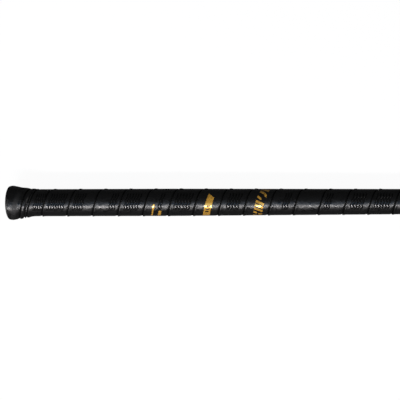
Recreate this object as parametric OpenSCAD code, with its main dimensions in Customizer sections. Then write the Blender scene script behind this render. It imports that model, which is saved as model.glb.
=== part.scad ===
// Floorball stick: hollow tapered shaft with a wound grip, a flared butt cap and a moulded lattice blade.
// The shaft lies along +X from the butt end at the origin; the blade leaves it sideways towards +Y and
// lies face down, so the stick rests on its butt, its hosel and the tip of its blade.

/* [Shaft] */
// Length of the tube, from its seat in the butt cap to its lower end
shaft_len = 956.5; // [700:0.5:1040]
// Outer diameter of the upper tube, under the grip
shaft_d = 26.4; // [24:0.1:28]
// Outer diameter of the lower tube, in the hosel
shaft_low_d = 23.4; // [21:0.1:26]
// Wall of the tube
shaft_wall = 1.3; // [0.8:0.1:2.5]
// Distance from the butt end at which the taper starts
taper_start = 190; // [120:1:300]
// Length of the taper
taper_len = 290; // [100:1:320]

/* [Butt cap] */
// How far the end disc stands out past the collar all round
cap_lip = 2.4; // [0.3:0.1:3]
// Thickness of the end disc
cap_t = 3.5; // [2.5:0.1:6]
// Diameter of the flat in the middle of the end disc
cap_flat_d = 20; // [12:1:24]
// Height of the dome between the flat and the rim
cap_dome = 2.4; // [0.4:0.1:3]
// How far the collar stands out past the tube at its widest
collar_flare = 3.2; // [1:0.1:4]
// Length of the collar along the shaft
collar_len = 16; // [12:1:30]
// Length of the plug inside the tube
plug_len = 28; // [15:1:60]
// Wall of the hollow plug
plug_wall = 2.2; // [1.5:0.1:3]

/* [Grip] */
// Distance between the first two seams of the band
tape_pitch = 29.6; // [24:0.1:36]
// How much closer each turn lies than the one before, as the tube narrows
pitch_drop = 0.15; // [0.05:0.01:0.2]
// Thickness of the band
tape_t = 1.8; // [1:0.1:2.5]
// Length of the skived edge under which the next turn is tucked
tape_skive = 2; // [0.5:0.1:4]
// Thickness of the adhesive under the band
glue_t = 0.2; // [0.1:0.05:0.4]
// Length of the whole grip, from the end disc
grip_len = 476.5; // [300:0.5:520]
// How far the first turn, which the next turns cover, runs past the collar
first_turn_past = 5; // [0:0.5:8]
// Thickness of the first turn, which is skived thin
first_turn_t = 0.9; // [0.4:0.1:1.6]
// Place along the shaft at which the first visible seam crosses the top
seam_x = 17.1; // [8:0.1:24]
// Width of the band that closes the grip
finish_w = 24; // [18:1:40]
// Thickness of the band that closes the grip
finish_t = 0.5; // [0.3:0.1:1]

/* [Decals] */
// Distance between the films, the label, the grip and the hosel
film_gap = 12; // [6:1:20]
// Length of the upper film
decal_upper_len = 90; // [40:1:110]
// Length of the lower film
decal_lower_len = 44; // [30:1:60]
// Thickness of the films and of the label
film_t = 0.2; // [0.1:0.05:0.4]
// Length of the blank label
label_len = 36; // [20:1:40]
// Height of the blank label, measured across the shaft
label_h = 16; // [8:1:18]

/* [Blade] */
// Angle between the shaft and the blade
blade_angle = 62; // [50:1:70]
// Distance from the tube's lower end to the blade's bottom edge, along the shaft
blade_below = 58; // [50:1:75]
// Distance from the shaft's axis to the end of the blade's tip, along the bottom edge
blade_reach = 212; // [180:1:225]
// Height of the blade at its tip
tip_h = 78; // [66:1:84]
// Height of the blade at its heel
heel_h = 64; // [54:1:70]
// Thickness of the blade's rim
rim_t = 11; // [8:0.5:13]
// Width of the blade's rim, seen from its face
rim_w = 9; // [6:0.5:11]
// Thickness of the ribs
rib_t = 7; // [4:0.5:10]
// Width of the ribs, seen from the face
rib_w = 3; // [2:0.1:4.5]
// Radius of the blade's curve along its length
blade_curve_r = 790; // [600:10:2000]
// Number of ribs across the blade
cross_ribs = 9; // [6:1:12]
// Number of ribs along the blade
long_ribs = 2; // [1:1:3]
// Lean of the ribs that run across
rib_lean = 14; // [0:1:25]

/* [Hosel] */
// Length of the socket that takes the shaft
hosel_len = 66; // [50:1:90]
// Wall of the socket
hosel_wall = 2.8; // [2:0.1:4]
// Radial gap that the glue fills between socket and shaft
hosel_gap = 0.25; // [0.2:0.05:0.4]
// Length of the glue line
hosel_glue_len = 50; // [30:1:60]
// Diameter of the screws
screw_d = 2.9; // [2.5:0.1:3.5]
// Diameter of the screw heads
screw_head_d = 5.6; // [5:0.1:7]
// Depth of the seats of the screw heads
screw_seat = 1.4; // [1:0.1:1.8]
// Length of the screws under their heads
screw_len = 6; // [4:0.5:9]
// Distance between the two screws
screw_gap = 24; // [15:1:35]

/* [Hidden] */

clear = 0.05;                    // gap between pieces that lie on each other
turn_steps = 24;                 // flats in one turn of the band
facet = 1 / cos(180 / turn_steps);
cap_d = shaft_d + 2 * (collar_flare + cap_lip);
collar_thin = 0.3;               // thickness of the collar's feathered end
shaft_end = cap_t + shaft_len;
grip_end = cap_t + grip_len;
collar_end = cap_t + collar_len;
collar_rise = 1.5;               // length of the collar's rounded front
collar_top = 2;                  // length over which the collar is at its widest
front_drop = 0.6;                // how far that front falls away towards the disc
first_end = collar_end + first_turn_past;
step_len = 3;                    // length over which the band steps down from the first turn
shaft_path = [[0, shaft_d / 2], [taper_start, shaft_d / 2],
              [taper_start + taper_len, shaft_low_d / 2], [shaft_end + 1, shaft_low_d / 2]];
function tube_r(x) = lookup(x, shaft_path);
collar_path = [[cap_t, shaft_d / 2 + collar_flare - front_drop],
               [cap_t + collar_rise, shaft_d / 2 + collar_flare],
               [cap_t + collar_rise + collar_top, shaft_d / 2 + collar_flare],
               [collar_end, shaft_d / 2 + collar_thin], [first_end + step_len, shaft_d / 2 + glue_t]];
function collar_r(x) = lookup(x, collar_path);
// Radius on which the visible band lies: over the first turn near the butt, then on the tube's glue
function first_r(x) = collar_r(x) + first_turn_t + clear;
function bed_r(x) =
    x < first_end ? first_r(x) + clear :
    x < first_end + step_len ? lookup(x, [[first_end, first_r(first_end) + clear],
                                          [first_end + step_len, tube_r(x) + glue_t + clear]]) :
    tube_r(x) + glue_t + clear;
function grip_r(x) = (bed_r(x) + tape_t) * facet + clear;

hosel_mouth = shaft_end - hosel_len;
hosel_bore_r = shaft_low_d / 2 + hosel_gap;
hosel_r = hosel_bore_r + hosel_wall;
corner_x = shaft_end + blade_below;       // the shaft's axis crosses the blade's bottom edge here
screw_xs = [hosel_mouth + 14, hosel_mouth + 14 + screw_gap];

// ---- helpers ----

// Solid of revolution about the shaft's axis from [place along the shaft, radius] points
module turned(points) {
    rotate([0, 90, 0]) rotate_extrude($fn = 96) polygon([for (p = points) [p[1], p[0]]]);
}

// Sleeve of thickness t round the bare tube, from x0 to x1
module sleeve(x0, x1, lift, t) {
    turned([[x0, tube_r(x0) + lift], [x1, tube_r(x1) + lift],
            [x1, tube_r(x1) + lift + t], [x0, tube_r(x0) + lift + t]]);
}

// Places a shape drawn in the blade's own plane: X along the bottom edge, Y up the blade
module in_blade() {
    translate([corner_x, 0, 0]) rotate([0, 0, blade_angle]) children();
}

// ---- shaft and butt ----

module shaft_tube() {
    color([0.07, 0.07, 0.075]) difference() {
        turned([[cap_t + clear, tube_r(0)], [taper_start, tube_r(0)],
                [taper_start + taper_len, tube_r(shaft_end)], [shaft_end, tube_r(shaft_end)],
                [shaft_end, tube_r(shaft_end) - shaft_wall],
                [taper_start + taper_len, tube_r(shaft_end) - shaft_wall],
                [taper_start, tube_r(0) - shaft_wall], [cap_t + clear, tube_r(0) - shaft_wall]]);
        for (x = screw_xs) translate([x, 0, 0]) rotate([90, 0, 0]) cylinder(d = screw_d + 0.1, h = shaft_d, $fn = 32);
    }
}

module butt_cap() {
    plug_r = shaft_d / 2 - shaft_wall - clear;
    dome = [for (a = [0:15:90]) [cap_dome * (1 - cos(a)), cap_flat_d / 2 + (cap_d - cap_flat_d) / 2 * sin(a)]];
    color([0.05, 0.05, 0.055]) difference() {
        turned(concat([[0, 0]], dome,
                      [[cap_t - 0.4, cap_d / 2], [cap_t, cap_d / 2 - 0.4], [cap_t, collar_r(cap_t)],
                       [cap_t + collar_rise, collar_r(cap_t + collar_rise)],
                       [cap_t + collar_rise + collar_top, collar_r(cap_t + collar_rise)],
                       [collar_end, collar_r(collar_end)],
                       [collar_end, shaft_d / 2 + clear], [cap_t, shaft_d / 2 + clear],
                       [cap_t, plug_r], [cap_t + plug_len - 2, plug_r], [cap_t + plug_len, plug_r - 1],
                       [cap_t + plug_len, 0]]));
        translate([cap_t, 0, 0]) rotate([0, 90, 0]) cylinder(r = plug_r - plug_wall, h = plug_len + 1, $fn = 64);
    }
}

// ---- grip ----

module grip_first_turn() {
    xs = [for (p = collar_path) if (p[0] < first_end) p[0]];
    inner = [for (x = xs) [x + clear, collar_r(x) + clear]];
    tail = [[collar_end + 2 * clear, shaft_d / 2 + clear], [first_end + step_len / 2, shaft_d / 2 + clear],
            [first_end, first_r(first_end) - 2 * clear]];
    outer = [for (i = [len(xs) - 1:-1:0]) [xs[i] + clear, first_r(xs[i]) - 2 * clear]];
    color([0.06, 0.06, 0.06]) turned(concat(inner, tail, outer));
}

module grip_adhesive() {
    start = first_end + step_len;
    color([0.75, 0.72, 0.62])
        turned([[start, tube_r(start) + clear], [taper_start, tube_r(taper_start) + clear],
                [taper_start + taper_len, tube_r(shaft_end) + clear], [grip_end, tube_r(grip_end) + clear],
                [grip_end, tube_r(grip_end) + glue_t], [taper_start + taper_len, tube_r(shaft_end) + glue_t],
                [taper_start, tube_r(taper_start) + glue_t], [start, tube_r(start) + glue_t]]);
}

// Left edge of the band at angle q: the angle is 0 at the side away from the blade and 90 on top
function band_x(q) = let (n = (q - 90) / 360) seam_x + tape_pitch * n - pitch_drop * n * n / 2;
// The angle at which that edge reaches x, which turns the formula above round
function band_q(x) =
    90 + 360 * (tape_pitch - sqrt(pow(tape_pitch, 2) - 2 * pitch_drop * (x - seam_x))) / pitch_drop;
function held(x) = min(max(x, cap_t + clear), grip_end);
// Point of the band's section at angle q, at share s of its width, on its back or on its face
function band_point(q, s, face) =
    let (lean = face ? -tape_skive / 2 : tape_skive / 2,
         x0 = held(band_x(q) + lean),
         x1 = held(band_x(q + 360) + lean - clear),
         x = x0 + s * (x1 - x0),
         r = (bed_r(x) + (face ? tape_t : 0)) * facet)
    [x, -r * cos(q), r * sin(q)];
// The band from angle q0 on as one closed mesh: fine_flats flats with n points across its width, over the
// butt's curves, and then flats with only the corners, where its bed is straight
module band(q0, fine_flats, flats, n) {
    m = 2 * n;
    function at(i, k) = i < fine_flats ? i * m + k : fine_flats * m + (i - fine_flats) * 4 + k;
    function place(i, k, n) = band_point(q0 + i * 360 / turn_steps, (k < n ? k : 2 * n - 1 - k) / (n - 1), k >= n);
    points = concat([for (i = [0:fine_flats - 1], k = [0:m - 1]) place(i, k, n)],
                    [for (i = [fine_flats:flats], k = [0:3]) place(i, k, 2)]);
    fine = [for (i = [0:fine_flats - 2], k = [0:m - 1]) let (j = (k + 1) % m)
            [at(i, k), at(i, j), at(i + 1, j), at(i + 1, k)]];
    plain = [for (i = [fine_flats:flats - 1], k = [0:3]) let (j = (k + 1) % 4)
             [at(i, k), at(i, j), at(i + 1, j), at(i + 1, k)]];
    a = fine_flats - 1;
    b = fine_flats;
    change = concat([for (k = [0:n - 2]) [at(a, k), at(a, k + 1), at(b, 0)]],
                    [[at(a, n - 1), at(b, 1), at(b, 0)], [at(a, n - 1), at(a, n), at(b, 2), at(b, 1)]],
                    [for (k = [n:m - 2]) [at(a, k), at(a, k + 1), at(b, 2)]],
                    [[at(a, m - 1), at(b, 3), at(b, 2)], [at(a, m - 1), at(a, 0), at(b, 0), at(b, 3)]]);
    first = [for (k = [0:n - 2]) [k, m - 1 - k, m - 2 - k, k + 1]];
    last = [[for (k = [0:3]) at(flats, k)]];
    polyhedron(points, concat(fine, plain, change, first, last), convexity = 10);
}

module grip_tape() {
    flat = 360 / turn_steps;
    start = band_q(cap_t + tape_skive + 2 - tape_pitch);
    fine_flats = ceil((band_q(first_end + step_len + 3) - start) / flat);
    flats = floor((band_q(grip_end - tape_skive - 2) - start) / flat);
    color([0.035, 0.035, 0.035]) band(start, fine_flats, flats, 1 + ceil(tape_pitch / 4));
}

module finish_tape() {
    x0 = grip_end - finish_w / 2;
    x1 = grip_end + finish_w / 2;
    step = grip_end + clear;
    low = tube_r(grip_end) + clear;
    color([0.03, 0.03, 0.03])
        turned([[x0, grip_r(x0) + clear], [step, grip_r(grip_end) + clear], [step, low], [x1, low],
                [x1, low + finish_t], [step + finish_t + 3, low + finish_t],
                [step + finish_t, grip_r(grip_end) + finish_t], [x0, grip_r(x0) + finish_t]]);
}

// ---- films on the bare shaft ----

module decal_upper() {
    x0 = grip_end + finish_w / 2 + film_gap;
    color([0.62, 0.45, 0.16]) sleeve(x0, x0 + decal_upper_len, clear, film_t);
}

module decal_lower() {
    x1 = hosel_mouth - film_gap;
    color([0.62, 0.45, 0.16]) sleeve(x1 - decal_lower_len, x1, clear, film_t);
}

module approval_label() {
    x1 = hosel_mouth - decal_lower_len - 2 * film_gap;
    color([0.85, 0.85, 0.83]) intersection() {
        sleeve(x1 - label_len, x1, clear, film_t);
        translate([x1 - label_len, -label_h / 2, 0]) cube([label_len, label_h, shaft_d]);
    }
}

// ---- blade ----

heel_back = 20;                     // the heel's overhang behind the shaft's axis
heel_r = 18;                        // rounding of the heel's bottom corner
nose_r = 34;                        // rounding of the tip's bottom corner
tip_r = 22;                         // rounding of the tip's top corner
shoulder_r = 12;                    // rounding of the top corner at the heel
edge_r = 150;                       // swell of the bottom and top edges
edge_lift = 4;                      // rise of the bottom edge towards the heel and the tip
// Arcs of the outline, anticlockwise: centre and radius
corners = [[heel_r - heel_back, heel_r + edge_lift, heel_r], [0.4 * blade_reach, edge_r, edge_r],
           [blade_reach - nose_r, nose_r + edge_lift, nose_r], [blade_reach - tip_r, tip_h - tip_r, tip_r],
           [0.47 * blade_reach, (heel_h + tip_h) / 2 + edge_lift - edge_r, edge_r], [4, heel_h - shoulder_r, shoulder_r]];
function corner(i) = corners[i % len(corners)];
function centre(i) = [corner(i)[0], corner(i)[1]];
function edge_angle(i) =
    let (d = centre(i + 1) - centre(i))
    atan2(d[1], d[0]) - 90 + asin((corner(i)[2] - corner(i + 1)[2]) / norm(d));
// Outline of the blade, drawn in by inset: arcs about fixed centres, joined by their common tangents
function outline(inset) = [for (i = [0:len(corners) - 1])
    let (a0 = edge_angle(i + len(corners) - 1), turn = (edge_angle(i) - a0 + 720) % 360,
         steps = corner(i)[2] == edge_r ? 6 : 12)
    for (k = [0:steps]) centre(i) + (corner(i)[2] - inset) * [cos(a0 + turn * k / steps), sin(a0 + turn * k / steps)]];

// Lets through what lies within half of t of the blade's curved middle surface
heel_z = -1;                        // height of the middle surface at the heel
tip_z = rim_t / 2 - hosel_r;        // height of the middle surface at the tip, so that the tip is as low as the hosel
module curved(t) {
    chord = [blade_reach + heel_back, tip_z - heel_z];
    middle = [(blade_reach - heel_back) / 2, (tip_z + heel_z) / 2];
    sag = sqrt(pow(blade_curve_r, 2) - pow(norm(chord) / 2, 2));
    pivot = middle + [chord[1], -chord[0]] / norm(chord) * sag;
    intersection() {
        children();
        translate([pivot[0], -50, pivot[1]]) rotate([-90, 0, 0]) difference() {
            cylinder(r = blade_curve_r + t / 2, h = 200, $fn = 720);
            translate([0, 0, -1]) cylinder(r = blade_curve_r - t / 2, h = 202, $fn = 720);
        }
    }
}

module slab() {
    translate([0, 0, -60]) linear_extrude(120) children();
}

// Solid spine that carries the hosel's line down through the blade
module spine_2d() {
    rotate(-blade_angle) translate([-2 * heel_h, -hosel_r * 0.85]) square([3 * heel_h, hosel_r * 1.7]);
}

module ribs_2d() {
    inner_h = tip_h - rim_w;
    for (k = [1:long_ribs])
        polygon([[-heel_back, rim_w + (heel_h - 2 * rim_w) * k / (long_ribs + 1) - rib_w / 2],
                 [blade_reach, rim_w + (tip_h - 2 * rim_w) * k / (long_ribs + 1) - rib_w / 2],
                 [blade_reach, rim_w + (tip_h - 2 * rim_w) * k / (long_ribs + 1) + rib_w / 2],
                 [-heel_back, rim_w + (heel_h - 2 * rim_w) * k / (long_ribs + 1) + rib_w / 2]]);
    for (k = [1:cross_ribs])
        translate([blade_reach * (k + 0.2) / (cross_ribs + 1), 0]) rotate(rib_lean)
            translate([-rib_w / 2, -rim_w]) square([rib_w, inner_h + 3 * rim_w]);
}

module blade() {
    color([0.06, 0.06, 0.065]) difference() {
        union() {
            in_blade() {
                curved(rim_t) slab() difference() {
                    polygon(outline(0));
                    difference() {
                        polygon(outline(rim_w));
                        spine_2d();
                    }
                }
                curved(rib_t) slab() difference() {
                    polygon(outline(rim_w / 2));
                    difference() {
                        polygon(outline(rim_w));
                        ribs_2d();
                    }
                }
            }
            turned([[hosel_mouth, 0], [hosel_mouth, hosel_r - 0.6], [hosel_mouth + 0.6, hosel_r],
                    [shaft_end + 6, hosel_r], [corner_x - 8, rim_t / 2], [corner_x - 8, 0]]);
        }
        translate([hosel_mouth - 1, 0, 0]) rotate([0, 90, 0])
            cylinder(r = hosel_bore_r, h = hosel_len + 1 + clear, $fn = 96);
        for (x = screw_xs) translate([x, 0, 0]) rotate([90, 0, 0]) {
            cylinder(d = screw_d + 0.3, h = 2 * hosel_r, $fn = 32);
            translate([0, 0, hosel_r - screw_seat]) cylinder(d = screw_head_d + 0.3, h = hosel_r, $fn = 48);
        }
    }
}

module hosel_adhesive() {
    x1 = shaft_end - 2;
    color([0.8, 0.78, 0.7]) difference() {
        turned([[x1 - hosel_glue_len, shaft_low_d / 2 + clear], [x1, shaft_low_d / 2 + clear],
                [x1, hosel_bore_r - clear], [x1 - hosel_glue_len, hosel_bore_r - clear]]);
        for (x = screw_xs) translate([x, 0, 0]) rotate([90, 0, 0]) cylinder(d = screw_d + 0.3, h = shaft_d, $fn = 32);
    }
}

module blade_screws() {
    head_t = screw_seat + 0.5;
    color([0.6, 0.6, 0.62]) for (x = screw_xs) translate([x, 0, 0]) rotate([90, 0, 0]) difference() {
        translate([0, 0, hosel_r - screw_seat - screw_len]) union() {
            cylinder(d1 = 0.8, d2 = screw_d, h = 2, $fn = 32);
            translate([0, 0, 2]) cylinder(d = screw_d, h = screw_len - 2, $fn = 32);
            translate([0, 0, screw_len + clear]) cylinder(d = screw_head_d, h = head_t, $fn = 48);
            translate([0, 0, screw_len - 0.5]) cylinder(d = screw_d, h = 1, $fn = 32);
        }
        translate([0, 0, hosel_r - screw_seat + head_t - 1]) {
            translate([-screw_head_d * 0.3, -0.4, 0]) cube([screw_head_d * 0.6, 0.8, 2]);
            translate([-0.4, -screw_head_d * 0.3, 0]) cube([0.8, screw_head_d * 0.6, 2]);
        }
    }
}

shaft_tube();
butt_cap();
grip_first_turn();
grip_adhesive();
grip_tape();
finish_tape();
decal_upper();
decal_lower();
approval_label();
hosel_adhesive();
blade();
blade_screws();
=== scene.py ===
"""Floorball stick: a tapered shaft with a helically wound grip, a flared butt cap and a moulded lattice blade.

The shaft lies along +X from the butt at the origin, the blade points towards +Y and +Z is up.
Flat patterns for the grip are drawn on the band as it lies before it is wound, in three coordinates:
along the band, across it, and up from the bed on which it lies.
"""
import math

import bmesh
import bpy
from bpy.props import FloatProperty, FloatVectorProperty, IntProperty, PointerProperty
from mathutils import Matrix, Vector


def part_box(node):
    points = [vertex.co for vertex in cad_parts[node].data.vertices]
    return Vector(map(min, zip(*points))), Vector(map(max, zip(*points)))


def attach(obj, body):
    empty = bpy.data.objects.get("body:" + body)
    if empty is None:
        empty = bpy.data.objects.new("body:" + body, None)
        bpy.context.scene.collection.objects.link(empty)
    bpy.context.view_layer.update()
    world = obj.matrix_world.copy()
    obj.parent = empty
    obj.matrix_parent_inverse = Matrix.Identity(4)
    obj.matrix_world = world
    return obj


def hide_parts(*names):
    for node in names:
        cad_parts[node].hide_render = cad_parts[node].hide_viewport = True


bl_info = {
    "name": "Floorball stick",
    "version": (1, 0, 0),
    "blender": (4, 5, 0),
    "location": "View3D > Sidebar > Stick",
    "description": "Builds a floorball stick around its packed frame",
    "category": "Add Mesh",
}

MM = 0.001
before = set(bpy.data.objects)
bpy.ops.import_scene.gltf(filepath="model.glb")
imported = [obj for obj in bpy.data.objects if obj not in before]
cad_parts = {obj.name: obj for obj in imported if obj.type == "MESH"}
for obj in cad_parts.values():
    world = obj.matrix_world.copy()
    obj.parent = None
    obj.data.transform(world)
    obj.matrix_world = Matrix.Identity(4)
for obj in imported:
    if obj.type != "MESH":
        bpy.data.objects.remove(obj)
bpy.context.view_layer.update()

CAP_LOW, CAP_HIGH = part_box("butt_cap")
BAND_LOW, BAND_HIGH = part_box("grip_tape")
FINISH_LOW, FINISH_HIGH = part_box("finish_tape")
TUBE_LOW, TUBE_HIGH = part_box("shaft_tube")
UPPER_LOW, UPPER_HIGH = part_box("decal_upper")
LOWER_LOW, LOWER_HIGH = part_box("decal_lower")
LABEL_LOW, LABEL_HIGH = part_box("approval_label")
BLADE_LOW, BLADE_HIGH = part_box("blade")
LABEL_HALF = (LABEL_HIGH.x - LABEL_LOW.x) / 2
LABEL_MIDDLE = (LABEL_HIGH.x + LABEL_LOW.x) / 2

HANDLE_WINDING = "Wind on the handle"
LATHE_STEPS = 128  # flats of a turned piece
SHARP_ANGLE = math.radians(35)  # edges of the prints and of the pressed pattern that bend more than this are sharp
BAND_TURN = math.tau * 15 * MM  # length of band in one turn, at the radius where the flat pattern is true
BAND_FROM = -1.35  # turn at which the band starts, before the first seam at turn 0
MIDDLE_TURN = 8  # turn whose pitch is the mean of all
BAND_MERGE = 0.004 * MM  # points closer than this are one
ADHESIVE = 0.25 * MM  # thickness of the layer under the band
BEND_CUT = 1.2 * MM  # widest flat of a slab that is bent round the shaft
STRIP_STEP = 1.1  # length in millimetres of one flat of a pressed strip
FLOOR_WHITE = 0.955  # strength at which the camera sees the floor
MIRRORED_SHARE = 0.02  # share of it that mirror and transmission rays see, so that black rims stay black


# ---- settings ----

class StickShaftSettings(bpy.types.PropertyGroup):
    """Sizes of the shaft and of the butt cap"""
    upper_radius: FloatProperty(
        name="Upper radius", description="Radius of the tube under the grip",
        default=TUBE_HIGH.z, unit="LENGTH", precision=5)
    lower_radius: FloatProperty(
        name="Lower radius", description="Radius of the tube below its taper",
        default=LOWER_HIGH.z - 0.25 * MM, unit="LENGTH", precision=5)
    taper_start: FloatProperty(
        name="Taper start", description="Distance from the butt at which the tube starts to narrow",
        default=190 * MM, unit="LENGTH", precision=4)
    taper_length: FloatProperty(
        name="Taper length", description="Length over which the tube narrows",
        default=290 * MM, unit="LENGTH", precision=4)
    wall: FloatProperty(
        name="Wall", description="Thickness of the tube's wall", default=1.3 * MM, unit="LENGTH", precision=4)
    disc: FloatProperty(
        name="End disc", description="Thickness of the disc that closes the butt",
        default=3.5 * MM, unit="LENGTH", precision=4)
    lacquer: FloatVectorProperty(
        name="Lacquer", description="Colour of the lacquered tube", subtype="COLOR", default=(0.008, 0.008, 0.009))
    gold: FloatVectorProperty(
        name="Gold", description="Colour of the gold prints and films", subtype="COLOR",
        default=(0.85, 0.45, 0.06))


class StickBandSettings(bpy.types.PropertyGroup):
    """Sizes and colour of the wound band"""
    seam: FloatProperty(
        name="First seam", description="Place along the shaft at which the first seam crosses the top",
        default=17.1 * MM, unit="LENGTH", precision=4)
    pitch: FloatProperty(
        name="Pitch", description="Distance between the first two seams", default=29.6 * MM,
        unit="LENGTH", precision=4)
    lag: FloatProperty(
        name="First lag", description="How far the first seam lags behind the others' even spacing",
        default=4.3 * MM, unit="LENGTH", precision=4)
    drop: FloatProperty(
        name="Pitch drop", description="How much closer each turn lies than the one before",
        default=0.15 * MM, unit="LENGTH", precision=6)
    thickness: FloatProperty(
        name="Thickness", description="Thickness of the band", default=1.8 * MM, unit="LENGTH", precision=5)
    edge_bulge: FloatProperty(
        name="Edge bulge", description="How far the upper edge of each turn stands proud",
        default=0.45 * MM, unit="LENGTH", precision=5)
    steps: IntProperty(
        name="Steps in a turn", description="Flats of the mesh in one turn of the band", default=96, min=24)
    rubber: FloatVectorProperty(
        name="Rubber", description="Colour of the band", subtype="COLOR", default=(0.0022, 0.0022, 0.0024))
    print_lift: FloatProperty(
        name="Print lift", description="How far the gold prints stand above the band",
        default=0.03 * MM, unit="LENGTH", precision=5)
    ridge_lift: FloatProperty(
        name="Ridge lift", description="How far the pressed ridges stand above the band",
        default=0.2 * MM, unit="LENGTH", precision=5)
    fold: FloatProperty(
        name="Fold height", description="Height of the folds that the first turns make beside the collar",
        default=2.8 * MM, unit="LENGTH", precision=5)


class StickBladeSettings(bpy.types.PropertyGroup):
    """Finish of the moulded blade"""
    voxel: FloatProperty(
        name="Voxel", description="Cell of the remesh that rounds the blade's edges",
        default=1.0 * MM, unit="LENGTH", precision=4)
    plastic: FloatVectorProperty(
        name="Plastic", description="Colour of the blade", subtype="COLOR", default=(0.010, 0.010, 0.011))


class StickStageSettings(bpy.types.PropertyGroup):
    """Camera, lamps and floor"""
    distance: FloatProperty(
        name="Distance", description="Distance from the camera to what it looks at", default=3.3, unit="LENGTH")
    span: FloatProperty(
        name="Span", description="Width of the view at that distance", default=0.446, unit="LENGTH", precision=4)
    target: FloatVectorProperty(
        name="Target", description="Point that the camera looks at", subtype="TRANSLATION",
        default=(0.2216, 0.0025, 0.0), precision=4)
    yaw: FloatProperty(
        name="Yaw", description="How far the camera stands towards the blade's end", subtype="ANGLE",
        default=math.radians(12))
    roll: FloatProperty(
        name="Roll", description="Turn of the camera about its own axis", subtype="ANGLE",
        default=math.radians(-0.18))
    strip_power: FloatProperty(
        name="Strip power", description="Power of the narrow strip lamp", default=30, min=0)
    butt_strip_power: FloatProperty(
        name="Butt strip power", description="Power of the short strip lamp over the butt's half", default=5, min=0)
    fill_power: FloatProperty(
        name="Fill power", description="Power of the soft lamp at each end", default=9, min=0)
    skirt_power: FloatProperty(
        name="Skirt power", description="Power of the wide dim lamp round the strip", default=6.5, min=0)
    sky: FloatProperty(
        name="Sky", description="Strength of the even light from all round", default=0.075, min=0)


# ---- node helpers ----

class Nodes:
    """Adds nodes to a tree and links them; an input may be given as a value or as another node's output"""

    def __init__(self, tree):
        self.tree = tree

    def add(self, kind, inputs=None, **settings):
        node = self.tree.nodes.new(kind)
        for name, value in settings.items():
            setattr(node, name, value)
        for name, value in (inputs or {}).items():
            self.feed(node.inputs[name], value)
        return node

    def feed(self, socket, value):
        if isinstance(value, bpy.types.NodeSocket):
            self.tree.links.new(value, socket)
        else:
            socket.default_value = value

    def math(self, operation, *values):
        node = self.add("ShaderNodeMath", operation=operation)
        for socket, value in zip(node.inputs, values):
            self.feed(socket, value)
        return node.outputs[0]

    def plus(self, a, b):
        return self.math("ADD", a, b)

    def minus(self, a, b):
        return self.math("SUBTRACT", a, b)

    def times(self, a, b):
        return self.math("MULTIPLY", a, b)

    def over(self, a, b):
        return self.math("DIVIDE", a, b)

    def split(self, vector):
        """The three numbers of a vector"""
        return self.add("ShaderNodeSeparateXYZ", {"Vector": vector}).outputs

    def join(self, **numbers):
        """A vector from its numbers, given as X, Y and Z"""
        return self.add("ShaderNodeCombineXYZ", numbers).outputs[0]

    def fade(self, value, low, high, to_low=0.0, to_high=1.0, kind="SMOOTHSTEP"):
        """The value turned from one range to another, and held at its ends"""
        inputs = {"Value": value, "From Min": low, "From Max": high, "To Min": to_low, "To Max": to_high}
        return self.add("ShaderNodeMapRange", inputs, interpolation_type=kind).outputs["Result"]

    def curve(self, value, spots):
        """The value looked up on a smooth curve through spots that lie between 0 and 1"""
        node = self.add("ShaderNodeFloatCurve", {"Value": value})
        points = node.mapping.curves[0].points
        for k, spot in enumerate(spots):
            if k < 2:
                points[k].location = spot
            else:
                points.new(*spot)
        node.mapping.update()
        return node.outputs[0]

    def noise(self, vector, scale, detail=2.0, roughness=0.5):
        inputs = {"Vector": vector, "Scale": scale, "Detail": detail, "Roughness": roughness}
        return self.add("ShaderNodeTexNoise", inputs).outputs[0]

    def mix_colour(self, share, a, b):
        node = self.add("ShaderNodeMix", data_type="RGBA")
        for name, value in (("Factor", share), ("A", a), ("B", b)):
            socket = next(s for s in node.inputs if s.name == name and s.enabled)
            if name != "Factor" and not isinstance(value, bpy.types.NodeSocket):
                value = (*value[:3], 1.0)
            self.feed(socket, value)
        return next(s for s in node.outputs if s.enabled)

    def changed(self, kind, geometry, inputs=None, **settings):
        """The geometry after one more node"""
        return self.add(kind, {"Geometry": geometry, **(inputs or {})}, **settings).outputs[0]


def new_group(name, kind, inputs, output):
    """An empty node group with named sockets, its node helper, and its input and output sockets

    inputs gives each number's default, or the kind of a socket that isn't a number.
    """
    tree = bpy.data.node_groups.new(name, kind)
    for label, value in inputs.items():
        if isinstance(value, str):
            tree.interface.new_socket(label, in_out="INPUT", socket_type=value)
        else:
            socket = tree.interface.new_socket(label, in_out="INPUT", socket_type="NodeSocketFloat")
            socket.default_value = value
    made = "NodeSocketGeometry" if kind == "GeometryNodeTree" else "NodeSocketFloat"
    tree.interface.new_socket(output, in_out="OUTPUT", socket_type=made)
    nodes = Nodes(tree)
    return tree, nodes, nodes.add("NodeGroupInput").outputs, nodes.add("NodeGroupOutput").inputs


def set_inputs(modifier, values):
    """Sets the inputs of a geometry nodes modifier, each found by its name and set by its identifier"""
    for item in modifier.node_group.interface.items_tree:
        if item.item_type == "SOCKET" and item.in_out == "INPUT" and item.name in values:
            modifier[item.identifier] = values[item.name]


# ---- mesh helpers ----

def dress(mesh, material=None, smooth=True):
    """Gives a mesh its one material and smooth or flat faces"""
    if material:
        mesh.materials.clear()
        mesh.materials.append(material)
    for face in mesh.polygons:
        face.use_smooth = smooth


def new_piece(name, mesh, material=None, smooth=True):
    piece = bpy.data.objects.new(name, mesh)
    bpy.context.scene.collection.objects.link(piece)
    dress(mesh, material, smooth)
    return piece


def mesh_from(name, vertices, faces):
    mesh = bpy.data.meshes.new(name)
    mesh.from_pydata(vertices, [], faces)
    mesh.validate()
    return mesh


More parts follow.
